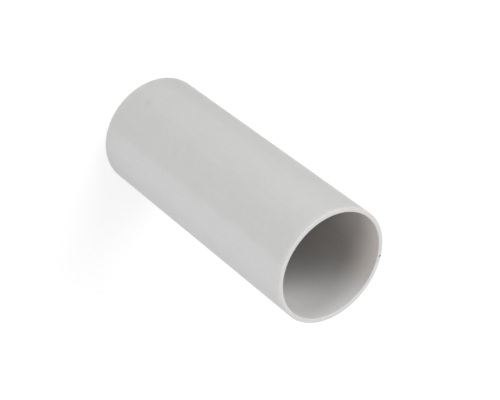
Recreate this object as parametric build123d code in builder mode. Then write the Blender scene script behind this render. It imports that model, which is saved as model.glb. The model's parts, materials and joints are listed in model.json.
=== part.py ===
# Straight coupling for rigid plastic conduit, moulded as one thin tube.
#
# Two conduits of the same size push in, one at each end, until they meet the stop ring at
# mid-length. Millimetres. +Z runs along the tube, and the origin is the centre of the lower rim,
# on which the coupling stands.

from build123d import *

import os
from math import cos, radians, sin

# The conduit that the coupling takes
conduit_diameter = 32.0
push_in_clearance = 0.15  # on the radius

# The moulded tube
wall = 1.3
socket_depth = 43.0  # from the rim to the stop ring, the same at both ends
rim_outer_round = 0.25
mouth_chamfer = 0.15

# The stop ring inside, low enough to leave the conduit's own bore clear for cables
stop_width = 2.0
stop_height = 1.0
stop_crest_round = 0.35

# A small V-shaped nick, slanting across the flat of the upper rim
nick_angle = 127.0  # around the rim, from +X
nick_slant = 28.0  # between the nick's run and the radius
nick_width = 0.3
nick_depth = 0.25
nick_edge_gap = 0.04  # from the nick's ends to the edges of the flat

bore_radius = conduit_diameter / 2 + push_in_clearance
length = 2 * socket_depth + stop_width
flat_width = wall - mouth_chamfer - rim_outer_round
flat_middle = bore_radius + mouth_chamfer + flat_width / 2


def corners_by_radius(section):
    """The section's corners in groups, from the stop's crest out to the tube's outside."""
    return section.vertices().group_by(Axis.X)


def round_off_section(section):
    """Chamfers the two mouths, and rounds the stop's crest and the rims' outer corners."""
    up_the_bore = corners_by_radius(section)[1].sort_by(Axis.Y)
    chamfer([up_the_bore[0], up_the_bore[-1]], mouth_chamfer)
    fillet(corners_by_radius(section)[0], stop_crest_round)
    fillet(corners_by_radius(section)[-1], rim_outer_round)


def nick_plane():
    """The plane across the nick's run, at the middle of the run, with its Y up the tube."""
    on_rim = Vector(flat_middle, 0, length).rotate(Axis.Z, nick_angle)
    run = Vector(1, 0, 0).rotate(Axis.Z, nick_angle + nick_slant)
    across = Vector(0, 0, 1).cross(run)
    return Plane(origin=on_rim, x_dir=across, z_dir=run)


def nick_length():
    """The run's length, so that the corners of its ends stay on the flat, off its edges."""
    slant = radians(nick_slant)
    return (flat_width - 2 * nick_edge_gap - nick_width * sin(slant)) / cos(slant)


with BuildPart() as coupling:
    with BuildSketch(Plane.XZ) as wall_section:
        with Locations((bore_radius, length / 2)):
            Rectangle(wall, length, align=(Align.MIN, Align.CENTER))
            Rectangle(stop_height, stop_width, align=(Align.MAX, Align.CENTER))
        round_off_section(wall_section)
    revolve(axis=Axis.Z)

    with BuildSketch(nick_plane()):
        with BuildLine():
            # A V that is as wide as the nick at the rim's level, and goes on up past the rim
            Polyline(
                (0, -nick_depth),
                (nick_width, nick_depth),
                (-nick_width, nick_depth),
                close=True,
            )
        make_face()
    extrude(amount=nick_length() / 2, both=True, mode=Mode.SUBTRACT)

coupling.part.label = "coupling"

os.makedirs("parts", exist_ok=True)
export_step(coupling.part, "parts/coupling.step")
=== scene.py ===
# The look of a straight coupling for plastic conduit: one light grey tube, standing on its end.
#
# Metres, in the part's own frame. +Z runs up the tube, and the lower rim stands on the floor.

import json
from math import cos, pi, radians, sin

import bmesh
import bpy
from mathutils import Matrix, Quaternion, Vector


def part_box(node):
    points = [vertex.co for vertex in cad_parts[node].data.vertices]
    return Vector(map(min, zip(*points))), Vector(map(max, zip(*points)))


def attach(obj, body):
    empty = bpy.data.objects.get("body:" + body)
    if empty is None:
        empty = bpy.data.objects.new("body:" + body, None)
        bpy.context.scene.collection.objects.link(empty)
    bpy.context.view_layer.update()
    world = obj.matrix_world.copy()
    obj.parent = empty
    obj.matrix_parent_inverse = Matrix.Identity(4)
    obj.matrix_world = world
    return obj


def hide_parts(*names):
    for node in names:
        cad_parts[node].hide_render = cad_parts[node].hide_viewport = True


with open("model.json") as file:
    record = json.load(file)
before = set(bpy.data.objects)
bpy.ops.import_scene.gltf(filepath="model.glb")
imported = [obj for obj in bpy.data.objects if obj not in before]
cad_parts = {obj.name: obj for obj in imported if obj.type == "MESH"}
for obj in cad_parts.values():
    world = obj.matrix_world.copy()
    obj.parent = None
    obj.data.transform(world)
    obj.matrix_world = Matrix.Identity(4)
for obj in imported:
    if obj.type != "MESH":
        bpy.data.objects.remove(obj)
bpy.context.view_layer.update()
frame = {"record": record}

MM = 0.001

# The tube, as the frame gives it
tube_low, tube_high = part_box("coupling")
LENGTH = tube_high.z
OUTER_RADIUS = min(tube_high.x, tube_high.y, -tube_low.x, -tube_low.y)
BORE_RADIUS = frame["record"]["mounts"][0]["dims"]["r_mm"] * MM
WALL = OUTER_RADIUS - BORE_RADIUS

# The rims and the stop ring
RIM_ROUND = 0.25 * MM
MOUTH_CHAMFER = 0.15 * MM
STOP_WIDTH = 2.0 * MM
STOP_HEIGHT = 1.0 * MM
STOP_ROUND = 0.35 * MM

# The V-shaped nick, slanting across the flat of the upper rim
FLAT_WIDTH = WALL - MOUTH_CHAMFER - RIM_ROUND
FLAT_MIDDLE = BORE_RADIUS + MOUTH_CHAMFER + FLAT_WIDTH / 2
NICK_ANGLE = radians(127.0)
NICK_SLANT = radians(28.0)
NICK_WIDTH = 0.3 * MM
NICK_DEPTH = 0.25 * MM
NICK_EDGE_GAP = 0.04 * MM
NICK_ACROSS = FLAT_WIDTH - 2 * NICK_EDGE_GAP
NICK_LENGTH = (NICK_ACROSS - NICK_WIDTH * sin(NICK_SLANT)) / cos(NICK_SLANT)

# How finely the tube is divided
STEPS_ROUND = 288
STEPS_ALONG_SOCKET = 44
STEPS_IN_ROUND = 6
SMOOTH_BELOW = radians(32)
CLOSE = 0.01 * MM

# The plastic's colours
WALL_COLOUR = (0.593, 0.591, 0.578, 1)
# Painted reflection: the pale band along the outside
PAINTED_REFLECTION_COLOUR = (0.626, 0.623, 0.617, 1)
# Painted highlight on the edges at both ends
PAINTED_EDGE_HIGHLIGHT_COLOUR = (0.64, 0.634, 0.622, 1)
INSIDE_COLOUR = (0.592, 0.589, 0.587, 1)
# Painted light: the bore paler near the mouths
PAINTED_MOUTH_LIGHT_COLOUR = (0.665, 0.662, 0.662, 1)
# Painted warm tint of the light on one side of the bore
PAINTED_WARM_TINT_COLOUR = (0.6, 0.567, 0.538, 1)
RIM_COLOUR = (0.574, 0.566, 0.557, 1)
NICK_COLOUR = (0.1, 0.1, 0.1, 1)

# How far from each end of the tube the rim's colour, the painted highlight on the edges and the
# painted light at the mouths reach
RIM_BAND = 0.2 * MM
EDGE_HIGHLIGHT_BAND = 2.2 * MM
MOUTH_LIGHT_BAND = 6 * MM

# The painted reflection, a faint pale band along the outside: between which angles it comes in and
# fades out
REFLECTION_BAND_START = (radians(-71), radians(-60))
REFLECTION_BAND_END = (radians(-50), radians(-25))

# Over how much of the wall, from the bore outwards, the inside's colour fades out
INSIDE_FADE = WALL / 4

# The painted warm tint of the light on one side of the inside: between which places along X it fades
# out
WARM_TINT_END = (-BORE_RADIUS / 3, BORE_RADIUS / 5)

# The plastic's uneven tone and satin skin
BROAD_PATCH = 6 * MM
BROAD_TONE = 0.007
FINE_PATCH = 1.5 * MM
FINE_TONE = 0.008
DRAW_LINE = 1.1 * MM
DRAW_TONE = 0.005
DRAW_STRETCH = 0.02
ROUGHNESS = 0.5
ROUGHNESS_CHANGE = 0.03
GLOSS_LEVEL = 0.2
SKIN_GRAIN = 0.35 * MM
SKIN_HEIGHT = 0.004 * MM
LINE_RELIEF = 0.5
GRAIN_RELIEF = 0.3
BUMP_STRENGTH = 0.5
NOISE_RANGE = (0.3, 0.7)
NOISE_DETAIL = 2.0
NOISE_ROUGHNESS = 0.5

# How far each smudge reaches into the wall
SMUDGE_DEPTH = 1 * MM

# Smudges on the outside: angle, height, tilt, half width, half height and how much darker
SMUDGES = (
    (radians(-108.0), 8.5 * MM, radians(-30), 1.9 * MM, 2.7 * MM, 0.08),
    (radians(-106.0), 72.0 * MM, 0.0, 0.6 * MM, 0.6 * MM, 0.05),
    (radians(-136.2), 78.2 * MM, 0.0, 0.7 * MM, 0.7 * MM, 0.06),
    (radians(-136.8), 83.0 * MM, 0.0, 0.5 * MM, 0.5 * MM, 0.04),
)

# The dark spot in the nick: how far outwards of the nick's middle, and half its length, width and
# height
NICK_SPOT_SHIFT = 0.25 * MM
NICK_SPOT_HALF_SIZES = (NICK_LENGTH * 0.9, NICK_WIDTH * 1.5, NICK_DEPTH * 2)

# The light
WHITE = (1, 1, 1, 1)
NEUTRAL = (1, 1, 1)
COOL = (0.94, 0.935, 1)
WORLD_STRENGTH = 0.2
WORLD_SEEN_STRENGTH = 1.0
SOFTBOX_SIZE = 0.45
SOFTBOX_DISTANCE = 1.0

# The softboxes: name, azimuth and elevation from the tube's middle, watts and colour
SOFTBOXES = (
    ("front_low", radians(-67), radians(10), 4.4, NEUTRAL),
    ("left_front", radians(-150), radians(35), 3.4, NEUTRAL),
    ("left", radians(180), radians(35), 1.8, NEUTRAL),
    ("left_high", radians(180), radians(60), 1.8, NEUTRAL),
    ("above", radians(180), radians(85), 3.0, NEUTRAL),
    ("right", radians(0), radians(35), 1.5, COOL),
    ("right_low", radians(0), radians(10), 1.4, COOL),
    ("back_low", radians(90), radians(10), 2.2, NEUTRAL),
)

# The floor: the paint that lights the tube, and the darker, glowing one that the camera sees
FLOOR_RADIUS = 3.0
FLOOR_SIDES = 96
FLOOR_COLOUR = (0.5, 0.5, 0.5, 1)
FLOOR_SEEN_COLOUR = (0.3, 0.3, 0.3, 1)
FLOOR_GLOW = 0.73

# The camera, rolled because the tube stands upright here and lies aslant in the picture
CAMERA_PLACE = Vector((0.0, -334.71, 365.99)) * MM
CAMERA_AIM = Vector((-0.754, 0.0, 49.29)) * MM
CAMERA_ROLL = radians(127.38)
LENS_MM = 117.12
SENSOR_MM = 36.0


def on_tube(angle, height, radius=OUTER_RADIUS):
    """A point at that angle round the tube from +X, and at that height."""
    return Vector((radius * cos(angle), radius * sin(angle), height))


def add_camera():
    """The camera at the photograph's place, turned about its own line of sight."""
    data = bpy.data.cameras.new("camera")
    data.lens = LENS_MM
    data.sensor_width = SENSOR_MM
    camera = bpy.data.objects.new("camera", data)
    bpy.context.scene.collection.objects.link(camera)
    sight = (CAMERA_AIM - CAMERA_PLACE).to_track_quat("-Z", "Y")
    camera.location = CAMERA_PLACE
    camera.rotation_mode = "QUATERNION"
    camera.rotation_quaternion = sight @ Quaternion((0, 0, 1), CAMERA_ROLL)
    bpy.context.scene.camera = camera


def select_only(piece):
    """Makes one piece the active object, and the only one that is selected."""
    bpy.ops.object.select_all(action="DESELECT")
    piece.select_set(True)
    bpy.context.view_layer.objects.active = piece


def select_where(piece, kind, wanted):
    """In edit mode, selects only the vertices or edges for which wanted(place or middle) holds."""
    bpy.ops.mesh.select_all(action="DESELECT")
    bpy.ops.mesh.select_mode(type=kind)
    mesh = bmesh.from_edit_mesh(piece.data)
    if kind == "VERT":
        for vertex in mesh.verts:
            vertex.select = wanted(vertex.co)
    else:
        for edge in mesh.edges:
            edge.select = wanted((edge.verts[0].co + edge.verts[1].co) / 2)
    mesh.select_flush_mode()
    bmesh.update_edit_mesh(piece.data)


def end_gap(at):
    """How far a point is from the nearer end of the tube, measured along it."""
    return min(abs(at.z), abs(LENGTH - at.z))


def in_wall(at):
    """Whether a point is in the wall or on its bore, but not on its outside."""
    return BORE_RADIUS - CLOSE < at.x < OUTER_RADIUS - CLOSE


def on_socket(at):
    """Whether a point is on the long straight sides, and not beside the stop ring."""
    return at.x > BORE_RADIUS - CLOSE and abs(at.z - LENGTH / 2) > STOP_WIDTH


def draw_section(section):
    """Shapes a flat strip as wide as the wall into the tube's section: stop, chamfers and rounds."""
    stop_low = (LENGTH - STOP_WIDTH) / 2
    stop_high = (LENGTH + STOP_WIDTH) / 2
    bpy.ops.object.mode_set(mode="EDIT")
    for height in (stop_low, stop_high):
        bpy.ops.mesh.select_all(action="SELECT")
        bpy.ops.mesh.bisect(plane_co=(0, 0, height), plane_no=(0, 0, 1))
    select_where(
        section,
        "EDGE",
        lambda at: abs(at.x - BORE_RADIUS) < CLOSE and abs(at.z - LENGTH / 2) < CLOSE,
    )
    bpy.ops.mesh.extrude_region_move(TRANSFORM_OT_translate={"value": (-STOP_HEIGHT, 0, 0)})

    def soften(wanted, size, segments):
        """Bevels the section's corners for which wanted(place) holds."""
        select_where(section, "VERT", wanted)
        bpy.ops.mesh.bevel(affect="VERTICES", offset=size, segments=segments, profile=0.5)

    crest = BORE_RADIUS - STOP_HEIGHT
    soften(lambda at: at.x < crest + CLOSE, STOP_ROUND, STEPS_IN_ROUND)
    soften(lambda at: at.x > OUTER_RADIUS - CLOSE and end_gap(at) < CLOSE, RIM_ROUND, STEPS_IN_ROUND)
    soften(lambda at: abs(at.x - BORE_RADIUS) < CLOSE and end_gap(at) < CLOSE, MOUTH_CHAMFER, 1)


def divide_lengthwise(section):
    """Leaves only the section's outline, and divides its long sides."""
    bpy.ops.mesh.select_all(action="SELECT")
    bpy.ops.mesh.delete(type="ONLY_FACE")
    select_where(section, "EDGE", lambda at: abs(at.z - LENGTH / 2) < STOP_WIDTH and in_wall(at))
    bpy.ops.mesh.delete(type="EDGE")
    select_where(section, "EDGE", lambda at: STOP_WIDTH < at.z < LENGTH - STOP_WIDTH and on_socket(at))
    bpy.ops.mesh.subdivide(number_cuts=STEPS_ALONG_SOCKET - 1)


def cut_nick(tube):
    """Takes a small slanting nick out of the flat of the upper rim, and divides its faces evenly."""
    run = NICK_ANGLE + NICK_SLANT
    middle = on_tube(NICK_ANGLE, LENGTH, FLAT_MIDDLE)
    bpy.ops.mesh.primitive_cylinder_add(vertices=4, radius=1.0, depth=NICK_LENGTH, location=middle)
    cutter = bpy.context.object
    along = Vector((cos(run), sin(run), 0))
    cutter.rotation_mode = "QUATERNION"
    cutter.rotation_quaternion = along.to_track_quat("Z", "Y")
    cutter.scale = (NICK_WIDTH / 2, NICK_DEPTH, 1)
    select_only(tube)
    cut = tube.modifiers.new("nick", "BOOLEAN")
    cut.operation = "DIFFERENCE"
    cut.solver = "EXACT"
    cut.object = cutter
    bpy.ops.object.modifier_apply(modifier=cut.name)
    bpy.data.objects.remove(cutter)
    bpy.ops.object.mode_set(mode="EDIT")
    select_where(tube, "VERT", lambda at: (at - middle).length < NICK_LENGTH)
    bpy.ops.mesh.quads_convert_to_tris(quad_method="BEAUTY", ngon_method="BEAUTY")
    bpy.ops.object.mode_set(mode="OBJECT")


def model_tube():
    """The whole coupling: its section is drawn flat, spun once round the axis and nicked."""
    bpy.ops.object.select_all(action="DESELECT")
    bpy.ops.mesh.primitive_plane_add(
        size=1.0,
        location=(BORE_RADIUS + WALL / 2, 0, LENGTH / 2),
        rotation=(pi / 2, 0, 0),
    )
    tube = bpy.context.object
    tube.name = "coupling_tube"
    tube.data.name = "coupling_tube"
    tube.scale = (WALL, LENGTH, 1)
    bpy.ops.object.transform_apply(location=True, rotation=True, scale=True)
    draw_section(tube)
    divide_lengthwise(tube)
    bpy.ops.mesh.select_all(action="SELECT")
    bpy.ops.mesh.spin(steps=STEPS_ROUND, angle=2 * pi, center=(0, 0, 0), axis=(0, 0, 1))
    bpy.ops.mesh.select_all(action="SELECT")
    bpy.ops.mesh.remove_doubles(threshold=CLOSE / 10)
    bpy.ops.mesh.normals_make_consistent(inside=False)
    bpy.ops.object.mode_set(mode="OBJECT")
    cut_nick(tube)
    select_only(tube)
    bpy.ops.object.shade_smooth_by_angle(angle=SMOOTH_BELOW)
    return tube


def add_node(tree, kind, inputs, **settings):
    """A new node with its settings; an input is a plain value or the socket that feeds it."""
    node = tree.nodes.new(kind)
    for name, value in settings.items():
        setattr(node, name, value)
    for name, value in inputs.items():
        if isinstance(value, bpy.types.NodeSocket):
            tree.links.new(value, node.inputs[name])
        else:
            node.inputs[name].default_value = value
    return node


def arithmetic(tree, operation, first, second):
    """The result of one operation on two numbers, each a plain value or a socket."""
    return add_node(tree, "ShaderNodeMath", {0: first, 1: second}, operation=operation).outputs[0]


def ramp(tree, value, low, high, result_low, result_high):
    """The value taken smoothly from one range to another, and held at both ends."""
    inputs = {
        "Value": value,
        "From Min": low,
        "From Max": high,
        "To Min": result_low,
        "To Max": result_high,
    }
    return add_node(tree, "ShaderNodeMapRange", inputs, interpolation_type="SMOOTHSTEP").outputs[0]


def mixed(tree, factor, first, second):
    """The second colour laid over the first by that factor. Each is a socket or a plain colour."""
    return add_node(
        tree, "ShaderNodeMix", {0: factor, 6: first, 7: second}, data_type="RGBA"
    ).outputs[2]


def mottle(tree, place, grain, strength):
    """A noise with patches about as wide as the grain, between minus and plus the strength."""
    inputs = {
        "Vector": place,
        "Scale": 1 / grain,
        "Detail": NOISE_DETAIL,
        "Roughness": NOISE_ROUGHNESS,
    }
    noise = add_node(tree, "ShaderNodeTexNoise", inputs)
    return ramp(tree, noise.outputs[0], *NOISE_RANGE, -strength, strength)


def draw_lines(tree, place, strength):
    """Long faint lines up the tube, between minus and plus the strength."""
    inputs = {"Vector": place, "Scale": (1, 1, DRAW_STRETCH)}
    stretched = add_node(tree, "ShaderNodeMapping", inputs).outputs[0]
    return mottle(tree, stretched, DRAW_LINE, strength)


def spot(tree, place, centre, turn, half_sizes):
    """1 in the middle of a soft oval spot and 0 outside it. The sizes are along its turned axes."""
    inputs = {"Vector": place, "Location": centre, "Rotation": turn, "Scale": half_sizes}
    local = add_node(tree, "ShaderNodeMapping", inputs, vector_type="TEXTURE")
    away = add_node(tree, "ShaderNodeVectorMath", {0: local.outputs[0]}, operation="LENGTH")
    return ramp(tree, away.outputs["Value"], 0.0, 1.0, 1.0, 0.0)


def wall_tone(tree, place):
    """The plastic's lightness against its plain colour, about 1: patches, draw lines and smudges."""
    tone = 1.0
    for change in (
        mottle(tree, place, BROAD_PATCH, BROAD_TONE),
        mottle(tree, place, FINE_PATCH, FINE_TONE),
        draw_lines(tree, place, DRAW_TONE),
    ):
        tone = arithmetic(tree, "ADD", change, tone)
    for angle, height, tilt, half_width, half_height, darker in SMUDGES:
        half_sizes = (SMUDGE_DEPTH, half_width, half_height)
        dark = spot(tree, place, on_tube(angle, height), (tilt, 0, angle), half_sizes)
        tone = arithmetic(tree, "SUBTRACT", tone, arithmetic(tree, "MULTIPLY", dark, darker))
    return tone


def outside_colour(tree, at, end_depth):
    """The wall's colour outside: a painted reflection as a pale band along it, and a painted highlight
    as paler edges at both ends.
    """
    angle = arithmetic(tree, "ARCTAN2", at["Y"], at["X"])
    # The pale band is a painted reflection, at fixed angles round the tube
    comes_in = ramp(tree, angle, *REFLECTION_BAND_START, 0.0, 1.0)
    fades_out = ramp(tree, angle, *REFLECTION_BAND_END, 1.0, 0.0)
    band = arithmetic(tree, "MULTIPLY", comes_in, fades_out)
    colour = mixed(tree, band, WALL_COLOUR, PAINTED_REFLECTION_COLOUR)
    # Painted highlight: paler edges at both ends of the tube
    return mixed(tree, ramp(tree, end_depth, 0.0, EDGE_HIGHLIGHT_BAND, 1.0, 0.0), colour, PAINTED_EDGE_HIGHLIGHT_COLOUR)


def with_inside(tree, at, end_depth, outside):
    """That colour with the bore's own laid over it inside, with painted light paler at the mouths and
    a painted warm tint of the light on one side.
    """
    flat = add_node(tree, "ShaderNodeCombineXYZ", {"X": at["X"], "Y": at["Y"]})
    radius = add_node(tree, "ShaderNodeVectorMath", {0: flat.outputs[0]}, operation="LENGTH")
    inside = ramp(
        tree, radius.outputs["Value"], BORE_RADIUS, BORE_RADIUS + INSIDE_FADE, 1.0, 0.0
    )
    # Painted light: the bore paler near the mouths
    painted_mouth_light = ramp(tree, end_depth, 0.0, MOUTH_LIGHT_BAND, 1.0, 0.0)
    # Painted warm tint of the light on the bore's -X side
    painted_warm_side = ramp(tree, at["X"], *WARM_TINT_END, 1.0, 0.0)
    colour = mixed(tree, inside, outside, INSIDE_COLOUR)
    colour = mixed(tree, arithmetic(tree, "MULTIPLY", inside, painted_mouth_light), colour, PAINTED_MOUTH_LIGHT_COLOUR)
    return mixed(tree, arithmetic(tree, "MULTIPLY", inside, painted_warm_side), colour, PAINTED_WARM_TINT_COLOUR)


def with_dark_nick_spot(tree, place, clean):
    """That colour with a dark spot in the nick."""
    middle = on_tube(NICK_ANGLE, LENGTH, FLAT_MIDDLE + NICK_SPOT_SHIFT)
    dark_spot = spot(tree, place, middle, (0, 0, NICK_ANGLE + NICK_SLANT), NICK_SPOT_HALF_SIZES)
    return mixed(tree, dark_spot, clean, NICK_COLOUR)


def satin_skin(tree, place):
    """The normals of a skin with faint draw lines and a fine grain."""
    lines = draw_lines(tree, place, LINE_RELIEF)
    grain = mottle(tree, place, SKIN_GRAIN, GRAIN_RELIEF)
    inputs = {
        "Height": arithmetic(tree, "ADD", lines, grain),
        "Distance": SKIN_HEIGHT,
        "Strength": BUMP_STRENGTH,
    }
    return add_node(tree, "ShaderNodeBump", inputs).outputs[0]


def plastic():
    """Satin light grey PVC with a dark nick, a painted reflection as a paler band along the outside,
    painted highlights at the ends, painted light at the mouths and a painted warm tint on one side
    inside.
    """
    material = bpy.data.materials.new("light_grey_plastic")
    material.use_nodes = True
    tree = material.node_tree
    shader = tree.nodes["Principled BSDF"]
    place = add_node(tree, "ShaderNodeTexCoord", {}).outputs["Object"]
    at = add_node(tree, "ShaderNodeSeparateXYZ", {"Vector": place}).outputs
    from_top = arithmetic(tree, "SUBTRACT", LENGTH, at["Z"])
    end_depth = arithmetic(tree, "MINIMUM", at["Z"], from_top)

    colour = outside_colour(tree, at, end_depth)
    colour = with_inside(tree, at, end_depth, colour)
    colour = mixed(tree, ramp(tree, end_depth, 0.0, RIM_BAND, 1.0, 0.0), colour, RIM_COLOUR)
    inputs = {0: colour, "Scale": wall_tone(tree, place)}
    colour = add_node(tree, "ShaderNodeVectorMath", inputs, operation="SCALE").outputs[0]
    # Darkens the nick with a near-black spot
    colour = with_dark_nick_spot(tree, place, colour)
    gloss_change = mottle(tree, place, BROAD_PATCH / 2, ROUGHNESS_CHANGE)
    roughness = arithmetic(tree, "ADD", gloss_change, ROUGHNESS)

    tree.links.new(colour, shader.inputs["Base Color"])
    tree.links.new(roughness, shader.inputs["Roughness"])
    tree.links.new(satin_skin(tree, place), shader.inputs["Normal"])
    shader.inputs["Specular IOR Level"].default_value = GLOSS_LEVEL
    return material


def background_rays(tree):
    """1 for the rays that see the background itself, in the open or in a gloss or through glass."""
    path = add_node(tree, "ShaderNodeLightPath", {}).outputs
    seen = arithmetic(tree, "MAXIMUM", path["Is Camera Ray"], path["Is Glossy Ray"])
    return arithmetic(tree, "MAXIMUM", seen, path["Is Transmission Ray"])


def seen_or_lit(tree, lit, seen):
    """Lights the tube with one shader, and shows the other where the background itself is seen."""
    inputs = {0: background_rays(tree), 1: lit.outputs[0], 2: seen.outputs[0]}
    return add_node(tree, "ShaderNodeMixShader", inputs).outputs[0]


def light_world():
    """A white world that gives the tube only a little light."""
    world = bpy.data.worlds.new("studio")
    bpy.context.scene.world = world
    world.use_nodes = True
    tree = world.node_tree
    tree.nodes.clear()
    lit = add_node(tree, "ShaderNodeBackground", {"Color": WHITE, "Strength": WORLD_STRENGTH})
    seen = add_node(
        tree, "ShaderNodeBackground", {"Color": WHITE, "Strength": WORLD_SEEN_STRENGTH}
    )
    add_node(tree, "ShaderNodeOutputWorld", {"Surface": seen_or_lit(tree, lit, seen)})


def hang_softbox(name, azimuth, elevation, watts, colour):
    """A round softbox in that direction from the tube's middle, facing it."""
    data = bpy.data.lights.new(name, "AREA")
    data.shape = "DISK"
    data.size = SOFTBOX_SIZE
    data.energy = watts
    data.color = colour
    lamp = bpy.data.objects.new(name, data)
    bpy.context.scene.collection.objects.link(lamp)
    away = on_tube(azimuth, sin(elevation), cos(elevation))
    lamp.location = Vector((0, 0, LENGTH / 2)) + away * SOFTBOX_DISTANCE
    lamp.rotation_mode = "QUATERNION"
    lamp.rotation_quaternion = away.to_track_quat("Z", "Y")


def floor_paint():
    """Pale grey paint that looks nearly white to the camera, and still takes the tube's shadow."""
    material = bpy.data.materials.new("floor_white")
    material.use_nodes = True
    tree = material.node_tree
    tree.nodes.clear()
    paint = add_node(tree, "ShaderNodeBsdfDiffuse", {"Color": FLOOR_COLOUR})
    faint = add_node(tree, "ShaderNodeBsdfDiffuse", {"Color": FLOOR_SEEN_COLOUR})
    glow = add_node(tree, "ShaderNodeEmission", {"Strength": FLOOR_GLOW})
    seen = add_node(tree, "ShaderNodeAddShader", {0: faint.outputs[0], 1: glow.outputs[0]})
    add_node(tree, "ShaderNodeOutputMaterial", {"Surface": seen_or_lit(tree, paint, seen)})
    return material


def lay_floor():
    """A wide round floor, which isn't part of the coupling."""
    bpy.ops.object.select_all(action="DESELECT")
    bpy.ops.mesh.primitive_circle_add(
        vertices=FLOOR_SIDES, radius=FLOOR_RADIUS, fill_type="NGON", location=(0, 0, 0)
    )
    floor = bpy.context.object
    floor.name = "floor"
    floor.data.materials.append(floor_paint())


add_camera()
tube = model_tube()
tube.data.materials.clear()
tube.data.materials.append(plastic())
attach(tube, "root")
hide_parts("coupling")
lay_floor()
light_world()
for softbox in SOFTBOXES:
    hang_softbox(*softbox)
bpy.context.scene.view_settings.view_transform = "Standard"
